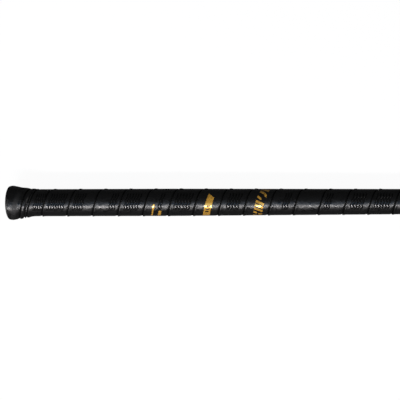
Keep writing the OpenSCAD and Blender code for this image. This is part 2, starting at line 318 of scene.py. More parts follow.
def point_faces_out(mesh, merge=0.0):
    """Merges doubles if asked, closes open ends and points every face outwards"""
    bm = bmesh.new()
    bm.from_mesh(mesh)
    if merge:
        bmesh.ops.remove_doubles(bm, verts=bm.verts, dist=merge)
        bmesh.ops.dissolve_degenerate(bm, dist=merge / 4, edges=bm.edges)
    open_edges = [edge for edge in bm.edges if edge.is_boundary]
    if open_edges:
        bmesh.ops.holes_fill(bm, edges=open_edges)
    bmesh.ops.recalc_face_normals(bm, faces=bm.faces)
    bm.to_mesh(mesh)
    bm.free()


def lathe_mesh(name, profile):
    """Closed solid turned about the shaft's axis from a closed profile of (x, radius) points

    A point of radius 0 becomes a pole.
    """
    steps = LATHE_STEPS
    vertices = []
    rings = []
    for x, radius in profile:
        if radius <= 0:
            rings.append([len(vertices)] * steps)
            vertices.append((x, 0, 0))
            continue
        rings.append(list(range(len(vertices), len(vertices) + steps)))
        for k in range(steps):
            angle = math.tau * k / steps
            vertices.append((x, radius * math.sin(angle), radius * math.cos(angle)))
    faces = []
    for this, following in zip(rings, rings[1:] + rings[:1]):
        for k in range(steps):
            corners = [this[k], this[(k + 1) % steps], following[(k + 1) % steps], following[k]]
            face = list(dict.fromkeys(corners))
            if len(face) > 2:
                faces.append(face)
    mesh = mesh_from(name, vertices, faces)
    point_faces_out(mesh)
    return mesh


def arc(centre, radius, start, end, steps):
    """Points on an arc in the (x, radius) plane, angles in degrees"""
    angles = [math.radians(start + (end - start) * k / steps) for k in range(steps + 1)]
    return [(centre[0] + radius * math.cos(a), centre[1] + radius * math.sin(a)) for a in angles]


def settle(piece, material):
    """Turns a piece with live modifiers into a plain mesh"""
    evaluated = piece.evaluated_get(bpy.context.evaluated_depsgraph_get())
    mesh = bpy.data.meshes.new_from_object(evaluated)
    piece.modifiers.clear()
    piece.data = mesh
    dress(mesh, material)
    return mesh


def grown_piece(name, mesh, tree, values, material):
    """A piece made by a geometry nodes tree, and its settled mesh"""
    piece = new_piece(name, mesh)
    modifier = piece.modifiers.new("Winding", "NODES")
    modifier.node_group = tree
    set_inputs(modifier, values)
    return piece, settle(piece, material)


def tube_radius(x):
    shaft = bpy.context.scene.stick_shaft
    share = min(max((x - shaft.taper_start) / shaft.taper_length, 0), 1)
    return shaft.upper_radius + share * (shaft.lower_radius - shaft.upper_radius)


def shade(colour, share):
    return [c * share for c in colour]


# ---- shared shader groups ----

def grain_group():
    """Height of a fine pebbled skin with shallow dents from winding and use"""
    tree, nodes, given, made = new_group(
        "Pebbled skin", "ShaderNodeTree",
        {"Vector": "NodeSocketVector", "Grain scale": 900.0, "Grain": 0.2, "Dent scale": 120.0, "Dents": 1.0},
        "Height")
    pebbles = nodes.add("ShaderNodeTexVoronoi", {"Vector": given["Vector"], "Scale": given["Grain scale"]},
                        feature="SMOOTH_F1").outputs["Distance"]
    dents = nodes.noise(given["Vector"], given["Dent scale"], detail=3.0, roughness=0.55)
    fine = nodes.times(pebbles, given["Grain"])
    nodes.feed(made["Height"], nodes.math("MULTIPLY_ADD", dents, given["Dents"], fine))
    return tree


def wear_group():
    """Mask of patches where handling has polished or dulled a surface"""
    tree, nodes, given, made = new_group(
        "Handling wear", "ShaderNodeTree", {"Vector": "NodeSocketVector", "Patch scale": 60.0, "Cover": 0.5}, "Mask")
    patches = nodes.noise(given["Vector"], given["Patch scale"], detail=4.0, roughness=0.6)
    low = nodes.minus(0.75, nodes.times(given["Cover"], 0.5))
    nodes.feed(made["Mask"], nodes.fade(patches, low, nodes.plus(low, 0.2)))
    return tree


def scratch_group():
    """Mask of fine stretched scratches that run along the shaft"""
    tree, nodes, given, made = new_group(
        "Fine scratches", "ShaderNodeTree", {"Vector": "NodeSocketVector", "Scale": 300.0}, "Mask")
    stretched = nodes.add("ShaderNodeVectorMath", {0: given["Vector"], 1: (0.08, 1.0, 1.0)},
                          operation="MULTIPLY").outputs[0]
    streaks = nodes.noise(stretched, given["Scale"], detail=2.0, roughness=0.7)
    nodes.feed(made["Mask"], nodes.fade(streaks, 0.62, 0.7))
    return tree


SHADER_GROUPS = {}


class SurfaceFinish(Nodes):
    """A material in the making, with one Principled BSDF whose plain values are given by name"""

    def __init__(self, name, **values):
        self.material = bpy.data.materials.new(name)
        self.material.use_nodes = True
        super().__init__(self.material.node_tree)
        self.bsdf = self.tree.nodes["Principled BSDF"]
        for label, value in values.items():
            self.bsdf.inputs[label.replace("_", " ")].default_value = value
        self.place = self.add("ShaderNodeTexCoord").outputs["Object"]

    def shared(self, name, inputs):
        """Output of a shared shader group"""
        return self.add("ShaderNodeGroup", {"Vector": self.place, **inputs}, node_tree=SHADER_GROUPS[name]).outputs[0]

    def wear(self, scale, cover):
        return self.shared("wear", {"Patch scale": scale, "Cover": cover})

    def scratches(self, scale):
        return self.shared("scratches", {"Scale": scale})

    def around_and_along(self):
        """Distance round the shaft in radians, and along it in metres"""
        x, y, z = self.split(self.place)
        return self.math("ARCTAN2", y, z), x

    def set(self, label, value):
        self.feed(self.bsdf.inputs[label], value)

    def vary(self, mask, colours, roughness):
        """Colour and roughness that go from their first to their second value with the mask"""
        self.set("Base Color", self.mix_colour(mask, *colours))
        self.set("Roughness", self.fade(mask, 0, 1, *roughness))

    def bump(self, height, depth):
        """Bumps the surface, with the depth in millimetres"""
        node = self.add("ShaderNodeBump", {"Height": height, "Distance": depth * MM, "Strength": 1.0})
        self.set("Normal", node.outputs["Normal"])

    def pebble(self, grain_scale, grain, dent_scale, dents, depth):
        """Bumps the surface with the shared pebbled skin"""
        self.bump(self.shared("grain", {"Grain scale": grain_scale, "Grain": grain,
                                        "Dent scale": dent_scale, "Dents": dents}), depth)


# ---- materials ----

def band_material():
    """Black polyurethane: satin, pebbled, dented by the fingers and polished in patches, with painted shade along its
    seams
    """
    band = bpy.context.scene.stick_band
    skin = SurfaceFinish("band_polyurethane", Specular_IOR_Level=0.5)
    across, along = [skin.add("ShaderNodeAttribute", attribute_name=name).outputs["Fac"]
                     for name in ("across", "along")]
    # Painted shade: along both edges of each turn, in the seams, the colour darkens to about a third of the rubber's
    shade_after_edge = skin.fade(across, 0.2 * MM, 1.0 * MM, 1.0, 0.0)
    shade_before_edge = skin.fade(across, band.pitch - 3.4 * MM, band.pitch - 1.8 * MM)
    seam = skin.math("MAXIMUM", shade_after_edge, shade_before_edge)
    worn = skin.wear(170.0, 0.5)
    colour = skin.mix_colour(worn, band.rubber, shade(band.rubber, 1.4))
    skin.set("Base Color", skin.mix_colour(seam, colour, shade(band.rubber, 0.35)))
    on_flare = skin.fade(along, -60 * MM, -50 * MM, 1.0, 0.0)
    before_seam = skin.times(skin.fade(across, 18.0 * MM, 19.5 * MM),
                             skin.fade(across, 23.0 * MM, 25.0 * MM, 1.0, 0.0))
    dull = skin.times(skin.times(on_flare, before_seam), 0.22)
    skin.set("Roughness", skin.plus(skin.fade(worn, 0, 1, 0.36, 0.2), dull))
    skin.pebble(340.0, 0.5, 170.0, 0.9, 0.35)
    return skin.material


def seam_shade_material():
    """Dull finish for the faces in the seams, in the fold grooves and on the pressed grooves: its near-black colour is
    painted shade
    """
    rubber = bpy.context.scene.stick_band.rubber
    seam_shade_skin = SurfaceFinish("band_foam", Specular_IOR_Level=0.1, Roughness=0.6)
    cells = seam_shade_skin.noise(seam_shade_skin.place, 900.0, detail=3.0)
    # Painted shade: the colour is a fifth to a half of the rubber's, mottled by fine cells
    seam_shade_skin.set("Base Color", seam_shade_skin.mix_colour(cells, shade(rubber, 0.2), shade(rubber, 0.5)))
    seam_shade_skin.set("Roughness", seam_shade_skin.fade(cells, 0.3, 0.7, 0.5, 0.75))
    seam_shade_skin.bump(cells, 0.1)
    return seam_shade_skin.material


def ridge_material():
    """The band's skin where the press has polished it, between the grooves of its pattern"""
    rubber = bpy.context.scene.stick_band.rubber
    skin = SurfaceFinish("pressed_polyurethane", Specular_IOR_Level=0.5)
    skin.vary(skin.wear(260.0, 0.5), (rubber, shade(rubber, 1.4)), (0.21, 0.11))
    skin.pebble(500.0, 0.3, 170.0, 0.9, 0.3)
    return skin.material


def print_material():
    """Gold foil pressed on the band, a little worn at its high spots"""
    gold = bpy.context.scene.stick_shaft.gold
    foil = SurfaceFinish("gold_foil", Metallic=0.6, Coat_Weight=1.0, Coat_Roughness=0.2)
    foil.vary(foil.wear(700.0, 0.35), (gold, shade(gold, 0.8)), (0.2, 0.3))
    foil.pebble(900.0, 0.06, 170.0, 0.4, 0.3)
    return foil.material


def cap_material():
    """Black thermoplastic rubber of the butt cap, matt with a fine spark-eroded texture"""
    rubber = SurfaceFinish("cap_rubber", Roughness=0.5)
    rubber.vary(rubber.wear(120.0, 0.6), ((0.006, 0.006, 0.006), (0.011, 0.010, 0.010)), (0.48, 0.6))
    rubber.pebble(2500.0, 0.25, 300.0, 0.2, 0.15)
    return rubber.material


def finish_material():
    """Thin black vinyl tape with faint stretch lines"""
    vinyl = SurfaceFinish("finish_vinyl")
    vinyl.vary(vinyl.scratches(500.0), ((0.006, 0.006, 0.007), (0.012, 0.012, 0.012)), (0.3, 0.42))
    vinyl.pebble(900.0, 0.1, 200.0, 0.7, 0.15)
    return vinyl.material


def tube_material():
    """Lacquered carbon: a twill weave that shows faintly through a clear coat"""
    shaft = bpy.context.scene.stick_shaft
    weave = SurfaceFinish("lacquered_carbon", Coat_Weight=0.8, Coat_Roughness=0.08, Roughness=0.4)
    around, along = weave.around_and_along()
    tow = 2 * MM
    row = weave.over(weave.times(around, shaft.upper_radius), tow)
    column = weave.over(along, tow)
    steps = weave.plus(weave.math("FLOOR", row), weave.math("FLOOR", column))
    over = weave.math("LESS_THAN", weave.math("FLOORED_MODULO", steps, 4.0), 1.5)
    weave.set("Base Color", weave.mix_colour(over, shade(shaft.lacquer, 1.2), shade(shaft.lacquer, 2.6)))
    roughness = weave.fade(over, 0, 1, 0.46, 0.34)
    weave.set("Roughness", weave.math("MULTIPLY_ADD", weave.scratches(260.0), 0.12, roughness))
    return weave.material


def film_material(name, stripe, lean):
    """Printed film: slanting gold and black stripes under a satin lacquer, with its sizes in millimetres"""
    shaft = bpy.context.scene.stick_shaft
    film = SurfaceFinish(name, Coat_Weight=0.5, Coat_Roughness=0.15)
    around, along = film.around_and_along()
    slanted = film.math("MULTIPLY_ADD", around, lean * MM, along)
    share = film.math("FRACT", film.over(slanted, stripe * MM))
    wide = film.math("LESS_THAN", share, 0.42)
    thin = film.math("LESS_THAN", film.math("ABSOLUTE", film.minus(share, 0.56)), 0.045)
    printed = film.math("MAXIMUM", wide, thin)
    worn = film.wear(400.0, 0.25)
    gold = film.mix_colour(worn, shaft.gold, shade(shaft.gold, 0.75))
    film.set("Roughness", film.fade(worn, 0, 1, 0.32, 0.45))
    film.set("Base Color", film.mix_colour(printed, shaft.lacquer, gold))
    film.set("Metallic", film.times(printed, 0.6))
    return film.material


def label_material():
    """Blank off-white label with a thin grey frame"""
    paper = SurfaceFinish("label_paper", Roughness=0.45)
    x, y, z = paper.split(paper.place)
    to_end = paper.minus(LABEL_HALF, paper.math("ABSOLUTE", paper.minus(x, LABEL_MIDDLE)))
    to_side = paper.minus(LABEL_HIGH.y, paper.math("ABSOLUTE", y))
    inset = paper.math("MINIMUM", to_end, to_side)
    line = paper.math("LESS_THAN", paper.math("ABSOLUTE", paper.minus(inset, 1.4 * MM)), 0.22 * MM)
    worn = paper.wear(250.0, 0.4)
    plain = paper.mix_colour(worn, (0.72, 0.72, 0.70), (0.60, 0.59, 0.56))
    paper.set("Base Color", paper.mix_colour(line, plain, (0.10, 0.10, 0.11)))
    paper.set("Roughness", paper.fade(worn, 0, 1, 0.38, 0.55))
    return paper.material


def blade_material():
    """Injection-moulded plastic: satin black with a spark-eroded skin and scuffed faces"""
    plastic = bpy.context.scene.stick_blade.plastic
    moulded = SurfaceFinish("blade_plastic")
    worn = moulded.wear(45.0, 0.5)
    colour = moulded.mix_colour(worn, plastic, shade(plastic, 1.6))
    moulded.set("Base Color", moulded.mix_colour(moulded.scratches(200.0), colour, (0.03, 0.03, 0.03)))
    moulded.set("Roughness", moulded.fade(worn, 0, 1, 0.36, 0.5))
    moulded.pebble(1800.0, 0.2, 60.0, 0.15, 0.2)
    return moulded.material


def steel_material():
    """Zinc-plated screw steel with faint turning marks"""
    steel = SurfaceFinish("screw_steel", Metallic=1.0)
    steel.vary(steel.scratches(900.0), ((0.56, 0.56, 0.58), (0.42, 0.42, 0.43)), (0.25, 0.42))
    return steel.material


def glue_material(name, colour):
    """Cured glue with a cloudy surface"""
    glue = SurfaceFinish(name, Roughness=0.4)
    cloudy = glue.noise(glue.place, 350.0, detail=3.0)
    glue.set("Base Color", glue.mix_colour(cloudy, colour, shade(colour, 0.7)))
    glue.bump(cloudy, 0.1)
    return glue.material


# ---- winding ----

WINDING_INPUTS = {"Seam": 0.0, "Lag": 0.0, "Pitch": 0.03, "Pitch drop": 0.0, "Turn length": 0.094, "Start": 0.0,
                  "End": 1.0, "Taper start": 0.0, "Taper end": 1.0, "Taper drop": 0.0}


def winding_group(name, profile):
    """Geometry group that winds flat patterns round the shaft

    profile holds (place along the shaft, radius) points of the bed near its shaped end; past its last point
    the bed stays level but for the taper. In the flat pattern X runs along the band, Y across it from its
    left edge, and Z up from the bed.
    """
    tree, nodes, given, made = new_group(
        name, "GeometryNodeTree", {"Geometry": "NodeSocketGeometry", **WINDING_INPUTS}, "Geometry")
    along, across, up = nodes.split(nodes.add("GeometryNodeInputPosition").outputs[0])
    turn = nodes.over(along, given["Turn length"])
    lag = nodes.times(given["Lag"], nodes.fade(turn, 0.2, 0.9, 1.0, 0.0))
    next_lag = nodes.times(given["Lag"], nodes.fade(turn, -0.8, -0.1, 1.0, 0.0))
    dropped = nodes.times(nodes.plus(turn, 0.5), given["Pitch drop"])
    squeezed = nodes.plus(dropped, nodes.minus(lag, next_lag))
    share = nodes.minus(1.0, nodes.over(squeezed, given["Pitch"]))
    half_drop = nodes.times(nodes.times(turn, turn), nodes.times(given["Pitch drop"], 0.5))
    even = nodes.minus(nodes.math("MULTIPLY_ADD", turn, given["Pitch"], given["Seam"]), half_drop)
    free_x = nodes.math("MULTIPLY_ADD", across, share, nodes.plus(even, lag))
    x = nodes.math("MAXIMUM", nodes.math("MINIMUM", free_x, given["End"]), given["Start"])
    first, last = profile[0][0], profile[-1][0]
    lowest = min(radius for _, radius in profile)
    height = max(radius for _, radius in profile) - lowest
    spots = [((place - first) / (last - first), (radius - lowest) / height) for place, radius in profile]
    bed = nodes.curve(nodes.fade(x, first, last, kind="LINEAR"), spots)
    shaped = nodes.math("MULTIPLY_ADD", bed, height, lowest)
    taper = nodes.fade(x, given["Taper start"], given["Taper end"], 0.0, given["Taper drop"], kind="LINEAR")
    radius = nodes.plus(nodes.minus(shaped, taper), up)
    angle = nodes.times(turn, math.tau)
    wound = nodes.join(X=x, Y=nodes.times(radius, nodes.math("SINE", angle)),
                       Z=nodes.times(radius, nodes.math("COSINE", angle)))
    nodes.feed(made["Geometry"], nodes.changed("GeometryNodeSetPosition", given["Geometry"], {"Position": wound}))
    return tree


def end_tree(nodes, winding, geometry, given, made, material):
    """Ends a tree: winds its flat shape and makes it real faces with their material"""
    inputs = {label: given[label] for label in WINDING_INPUTS}
    wound = nodes.changed("GeometryNodeGroup", geometry, inputs, node_tree=winding)
    real = nodes.changed("GeometryNodeRealizeInstances", wound)
    nodes.feed(made["Geometry"], nodes.changed("GeometryNodeSetMaterial", real, {"Material": material}))


def wound_band_tree(name, winding, material):
    """A band swept along its own length from its section and wound round the shaft"""
    tree, nodes, given, made = new_group(
        name, "GeometryNodeTree",
        {"Geometry": "NodeSocketGeometry", "Section": "NodeSocketObject", "From": 0.0, "To": 1.0, "Step": 0.001,
         "Fold height": 0.0, **WINDING_INPUTS}, "Geometry")
    ends = {"Start": nodes.join(X=given["From"]), "End": nodes.join(X=given["To"])}
    line = nodes.add("GeometryNodeCurvePrimitiveLine", ends).outputs[0]
    path = nodes.add("GeometryNodeResampleCurve", {"Curve": line, "Length": given["Step"]}, mode="LENGTH").outputs[0]
    section = nodes.add("GeometryNodeObjectInfo", {"Object": given["Section"]}).outputs["Geometry"]
    swept = nodes.add("GeometryNodeCurveToMesh",
                      {"Curve": path, "Profile Curve": section, "Fill Caps": True}).outputs[0]
    flat = nodes.changed("GeometryNodeTransform", swept, {"Scale": (1, -1, -1)})
    along, across, up = nodes.split(nodes.add("GeometryNodeInputPosition").outputs[0])
    for label, value in (("along", along), ("across", across)):
        flat = nodes.changed("GeometryNodeStoreNamedAttribute", flat, {"Name": label, "Value": value},
                             data_type="FLOAT", domain="POINT")
    folded = add_folds(nodes, flat, given, along, across, up)
    end_tree(nodes, winding, folded, given, made, material)
    return tree


# Folds across the first turn, each a place in millimetres and a share of the fold height, and the grooves
# between them
FOLDS = [(0, 0), (1.2, 0.05), (3.2, 0.2), (4.8, 0.0), (5.8, -0.45), (6.4, 0.0), (7.0, 0.15), (7.9, -0.05),
         (8.7, -0.45), (9.6, -0.1), (11.5, 0), (15, 0)]
GROOVES = (5.8, 8.7)


def add_folds(nodes, geometry, given, along, across, up):
    """Lifts the face where the first turns underneath make folds beside the collar"""
    width = FOLDS[-1][0]
    spots = [(place / width, lift + 0.5) for place, lift in FOLDS]
    lift = nodes.minus(nodes.curve(nodes.fade(across, 0.0, width * MM, kind="LINEAR"), spots), 0.5)
    turn = nodes.math("ABSOLUTE", nodes.over(along, given["Turn length"]))
    lift = nodes.times(nodes.times(lift, given["Fold height"]), nodes.fade(turn, 0.3, 0.6, 1.0, 0.0))
    lift = nodes.times(lift, nodes.fade(up, 0.8 * MM, 1.4 * MM))
    return nodes.changed("GeometryNodeSetPosition", geometry, {"Offset": nodes.join(Z=lift)})


def wound_marks_tree(name, winding, material):
    """One mark repeated at each point of a flat pattern and wound round the shaft"""
    tree, nodes, given, made = new_group(
        name, "GeometryNodeTree",
        {"Geometry": "NodeSocketGeometry", "Mark": "NodeSocketObject", **WINDING_INPUTS}, "Geometry")
    mark = nodes.add("GeometryNodeObjectInfo", {"Object": given["Mark"]}).outputs["Geometry"]
    copies = nodes.add("GeometryNodeInstanceOnPoints", {"Points": given["Geometry"], "Instance": mark}).outputs[0]
    flat = nodes.changed("GeometryNodeRealizeInstances", copies)
    end_tree(nodes, winding, flat, given, made, material)
    return tree


def band_winding_values():
    """Inputs of the winding for all that lies on the handle"""
    shaft, band = bpy.context.scene.stick_shaft, bpy.context.scene.stick_band
    return {"Seam": band.seam, "Lag": band.lag, "Pitch": band.pitch, "Pitch drop": band.drop,
            "Turn length": BAND_TURN, "Start": BAND_LOW.x, "End": BAND_HIGH.x,
            "Taper start": shaft.taper_start, "Taper end": shaft.taper_start + shaft.taper_length,
            "Taper drop": shaft.upper_radius - shaft.lower_radius}


def handle_bed():
    """Radius under the band: over the butt's collar and the first turn, then down on the tube"""
    base = bpy.context.scene.stick_shaft.upper_radius + ADHESIVE
    lifts = [(3.5, 3.4), (4.2, 4.0), (5.5, 4.2), (8.0, 3.85), (12.5, 2.95), (17.0, 2.05), (21.5, 1.75),
             (23.5, 1.5), (25.5, 0.9), (28.0, 0.4), (31.0, 0.1), (38.0, 0.0)]
    return [(x * MM, base + lift * MM) for x, lift in lifts]


def section_object(name, points):
    """A closed outline, given in millimetres, that a band is swept from"""
    curve = bpy.data.curves.new(name, "CURVE")
    curve.dimensions = "3D"
    spline = curve.splines.new("POLY")
    spline.points.add(len(points) - 1)
    for point, (across, up) in zip(spline.points, points):
        point.co = (across * MM, up * MM, 0, 1)
    spline.use_cyclic_u = True
    outline = bpy.data.objects.new(name, curve)
    bpy.context.scene.collection.objects.link(outline)
    return outline


def band_section():
    """Section of the band: a proud rounded left edge, a flat face and a right edge skived to nothing"""
    band = bpy.context.scene.stick_band
    thick, bulge, pitch = band.thickness / MM, band.edge_bulge / MM, band.pitch / MM
    under = [(0.45, 1.1), (1.3, 0.65), (2.4, 0.1), (8, 0), (16, 0), (24, 0), (pitch + 1.8, 0)]
    tail = [(pitch + 1.9, 0.08), (pitch + 1.0, 0.6), (pitch + 0.3, 1.0), (pitch - 0.4, 1.17),
            (pitch - 1.1, 1.35), (pitch - 1.8, 1.55), (pitch - 2.5, thick - 0.08), (pitch - 3.1, thick - 0.01)]
    face = [(pitch - 4.2 - 2.2 * k, thick) for k in range(6)]
    face += [(pitch - 17.4 - 0.85 * k, thick) for k in range(11)]
    edge = [(3.2, thick + 0.15 * bulge), (2.3, thick + 0.5 * bulge), (1.5, thick + 0.9 * bulge),
            (0.9, thick + bulge), (0.45, thick + 0.7 * bulge), (0.15, thick + 0.1), (0.02, thick - 0.15),
            (0.1, thick - 0.38)]
    return under + tail + face + edge


def thin_slab(outlines, low, high):
    """Closed thin slabs from flat outlines in millimetres, cut small enough to bend round the shaft"""
    bm = bmesh.new()
    for outline in outlines:
        bm.faces.new([bm.verts.new((x * MM, y * MM, 0)) for x, y in outline])
    for axis, normal in enumerate((Vector((1, 0, 0)), Vector((0, 1, 0)))):
        lowest = min(v.co[axis] for v in bm.verts)
        highest = max(v.co[axis] for v in bm.verts)
        for k in range(1, int((highest - lowest) / BEND_CUT) + 1):
            everything = bm.verts[:] + bm.edges[:] + bm.faces[:]
            bmesh.ops.bisect_plane(bm, geom=everything, plane_co=normal * (lowest + k * BEND_CUT), plane_no=normal)
    bm.verts.index_update()
    flat = [v.co.copy() for v in bm.verts]
    count = len(flat)
    faces = [[v.index for v in face.verts] for face in bm.faces]
    rim = [(e.verts[0].index, e.verts[1].index) for e in bm.edges if e.is_boundary]
    bm.free()
    vertices = [(v.x, v.y, low) for v in flat] + [(v.x, v.y, high) for v in flat]
    solid = faces + [[i + count for i in reversed(face)] for face in faces]
    solid += [[a, b, b + count, a + count] for a, b in rim]
    mesh = mesh_from("slab", vertices, solid)
    point_faces_out(mesh)
    return mesh


def strip_mesh(route, width, low, high, top):
    """A low strip along a route on the flat band, in millimetres, with sloping sides"""
    points = []
    for (x0, y0), (x1, y1) in zip(route, route[1:]):
        steps = max(1, round(math.hypot(x1 - x0, y1 - y0) / STRIP_STEP))
        points += [(x0 + (x1 - x0) * k / steps, y0 + (y1 - y0) * k / steps) for k in range(steps)]
    points.append(route[-1])
    sides = [(-0.5, low), (-top / 2, high), (top / 2, high), (0.5, low)]
    vertices = [(x * MM, (y + share * width) * MM, up) for x, y in points for share, up in sides]
    faces = []
    for k in range(len(points) - 1):
        for j in range(4):
            a, b = 4 * k + j, 4 * k + (j + 1) % 4
            faces.append([a, b, b + 4, a + 4])
    last = 4 * (len(points) - 1)
    faces += [[3, 2, 1, 0], [last, last + 1, last + 2, last + 3]]
    mesh = mesh_from("strip", vertices, faces)
    point_faces_out(mesh)
    return mesh


def bars(*sizes):
    """Outlines of slanting bars, each from one point to another with a width along the band"""
    return [[(x0, y0), (x1, y1), (x1 - width, y1), (x0 - width, y0)] for x0, y0, x1, y1, width in sizes]


# Gold prints on the flat band: the turn that each lies on, and its outlines in millimetres, each point
# given along the band from the turn's top and across it from its left edge
GOLD_PRINTS = {
    5: [[(-2.0, 9.1), (-2.0, 10.9), (-14.5, 11.4), (-20.5, 11.2), (-20.5, 9.2), (-14.5, 9.5)],
        [(-9.9, 17.4), (-9.9, 20.2), (-17.5, 21.0), (-20.5, 19.4), (-20.5, 17.4)]],
    7: [[(10.5, 11.0), (5.0, 19.2), (-3.8, 19.2), (-3.8, 11.0)],
        *bars((-3.8, 11.0, -3.8, 12.9, 11.2), (-3.8, 17.4, -3.8, 19.2, 11.2), (-5.6, 12.9, -5.6, 17.4, 1.8),
              (-9.0, 12.9, -9.0, 17.4, 1.6), (-12.4, 12.9, -12.4, 17.4, 2.6)),
        [(-15.0, 11.0), (-15.0, 19.2), (-34.0, 19.8), (-30.0, 11.6)]],
    9: bars((26.5, 10.6, 22.0, 20.8, 3.8), (21.0, 10.4, 16.5, 20.8, 3.6), (15.6, 10.6, 12.4, 16.8, 3.2),
            (11.4, 17.6, 8.2, 21.2, 3.4), (8.2, 10.4, 4.6, 16.2, 2.6), (2.6, 10.4, -1.6, 21.2, 2.6),
            (-1.6, 10.6, -5.8, 21.4, 2.6), (-5.8, 10.8, -10.0, 21.6, 2.6), (-10.6, 11.0, -12.6, 15.4, 3.0),
            (-14.4, 17.4, -16.0, 21.8, 2.8), (-17.4, 11.4, -21.6, 21.8, 2.6)),
}

# Pressed pattern: turn, distance across the band of the first groove, number of grooves and their spacing
PRESSED = [(0, 15.4, 5, 2.9), (1, 2.6, 8, 2.9), (2, 3.6, 5, 2.9), (3, 17.6, 3, 3.1), (4, 5.2, 6, 3.2),
           (5, 15.6, 2, 3.3), (6, 4.6, 6, 3.6), (8, 7.2, 5, 3.5), (10, 14.0, 3, 3.2), (12, 4.2, 3, 3.1),
           (13, 6.0, 5, 3.6), (14, 4.6, 6, 3.5)]
PRESSED_ROUTE = [(-9.5, -0.5), (-6.5, 0.9), (-3.5, -0.7), (-0.5, 0.8), (2.5, -0.6), (6.5, 0.5),
                 (10.5, -0.4)]


# ---- operators ----

class STICK_OT_grip(bpy.types.Operator):
    """Winds the band round the handle"""
    bl_idname = "stick.grip"
    bl_label = "Grip band"

    def execute(self, context):
        band = context.scene.stick_band
        material = band_material()
        tree = wound_band_tree("Wound grip band", winding_group(HANDLE_WINDING, handle_bed()), material)
        last_turn = (BAND_HIGH.x - band.seam) / (band.pitch - MIDDLE_TURN * band.drop)
        outline = section_object("band_section", band_section())
        values = {"Section": outline, "From": BAND_FROM * BAND_TURN, "To": last_turn * BAND_TURN,
                  "Step": BAND_TURN / band.steps, "Fold height": band.fold, **band_winding_values()}
        piece, mesh = grown_piece("grip_band", bpy.data.meshes.new("grip_band"), tree, values, material)
        point_faces_out(mesh, merge=BAND_MERGE)
        self.paint_seam_shade(mesh, band)
        bpy.data.objects.remove(outline)
        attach(piece, "root")
        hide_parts("grip_tape")
        paint_node("grip_first_turn", material)
        paint_node("grip_adhesive", glue_material("adhesive_film", (0.55, 0.50, 0.38)))
        return {"FINISHED"}

    def paint_seam_shade(self, mesh, band):
        """Gives the faces down in the seams and in the fold grooves the dull finish whose near-black colour is painted
        shade
        """
        mesh.materials.append(seam_shade_material())
        across = mesh.attributes["across"].data
        along = mesh.attributes["along"].data
        seam_end, seam_start, groove_half, fold_reach = 0.2 * MM, band.pitch - 2.15 * MM, 0.6 * MM, 0.42 * BAND_TURN
        for face in mesh.polygons:
            place = sum(across[k].value for k in face.vertices) / len(face.vertices)
            on_first = abs(along[face.vertices[0]].value) < fold_reach
            in_fold = on_first and any(abs(place - groove * MM) < groove_half for groove in GROOVES)
            if place > seam_start or place < seam_end or in_fold:
                face.material_index = 1


class STICK_OT_prints(bpy.types.Operator):
    """Lays the gold prints and the pressed pattern on the band"""
    bl_idname = "stick.prints"
    bl_label = "Prints and pressed pattern"

    def execute(self, context):
        band = context.scene.stick_band
        turn = BAND_TURN / MM
        outlines = [[(x + number * turn, y) for x, y in outline] for number, marks in GOLD_PRINTS.items()
                    for outline in marks]
        slab = thin_slab(outlines, band.thickness - 0.15 * MM, band.thickness + band.print_lift)
        prints = self.lay("gold_prints", [(0, 0, 0)], slab, print_material())
        grooves = [(number * BAND_TURN, (first + k * gap) * MM, 0) for number, first, count, gap in PRESSED
                   for k in range(count)]
        ridges = [(number * BAND_TURN, (first + (k + 0.5) * gap) * MM, 0) for number, first, count, gap in PRESSED
                  for k in range(count - 1)]
        low = band.thickness - 0.05 * MM
        # Painted shade: each pressed groove is a thin near-black strip laid on the band where the groove lies
        groove = strip_mesh(PRESSED_ROUTE, 1.5, low, band.thickness + 0.06 * MM, 0.86)
        ridge = strip_mesh(PRESSED_ROUTE, 2.2, low, band.thickness + band.ridge_lift, 0.6)
        pressed = self.lay("pressed_grooves", grooves, groove, bpy.data.materials["band_foam"])
        raised = self.lay("pressed_ridges", ridges, ridge, ridge_material())
        return {"FINISHED"}

    def lay(self, name, spots, mark, material):
        """Winds a flat mark, repeated at each spot, onto the band"""
        pattern = new_piece(name + "_pattern", mark)
        tree = wound_marks_tree("Wound " + name.replace("_", " "), bpy.data.node_groups[HANDLE_WINDING], material)
        values = {"Mark": pattern, **band_winding_values()}
        piece, mesh = grown_piece(name, mesh_from(name, spots, []), tree, values, material)
        point_faces_out(mesh)
        mesh.set_sharp_from_angle(angle=SHARP_ANGLE)
        bpy.data.objects.remove(pattern)
        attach(piece, "root")
        return piece


class STICK_OT_butt(bpy.types.Operator):
    """Turns the butt cap with its domed disc and hollow plug"""
    bl_idname = "stick.butt"
    bl_label = "Butt cap"

    def execute(self, context):
        shaft = context.scene.stick_shaft
        disc, rim = shaft.disc, CAP_HIGH.z
        dome, flat, edge = 2.4 * MM, 10 * MM, 0.4 * MM
        face = [(dome * (1 - math.cos(a)), flat + (rim - flat) * math.sin(a))
                for a in (math.radians(7.5 * k) for k in range(13))]
        ring = [(x * MM, radius * MM) for x, radius in ((0.15, 7.2), (0.45, 7.6), (0.45, 8.2), (0.15, 8.6))]
        rounding = arc((disc - edge, rim - edge), edge, 90, 0, 5)
        collar = [(x * MM, shaft.upper_radius + lift * MM) for x, lift in
                  ((3.5, 2.4), (5.0, 3.1), (7.0, 3.1), (19.5, 0.3), (19.5, 0.04), (3.5, 0.04))]
        outer = shaft.upper_radius - shaft.wall - 0.05 * MM
        inner = outer - 2.2 * MM
        end, lead_in = CAP_HIGH.x, 2 * MM
        plug = [(disc, outer), (end - lead_in, outer), (end, outer - lead_in / 2), (end, inner), (disc, inner),
                (disc, 0)]
        profile = [(0, 0), (0, 7.0 * MM)] + ring + face + rounding + collar + plug
        piece = new_piece("butt_cap_moulding", lathe_mesh("butt_cap_moulding", profile), cap_material())
        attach(piece, "root")
        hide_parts("butt_cap")
        return {"FINISHED"}


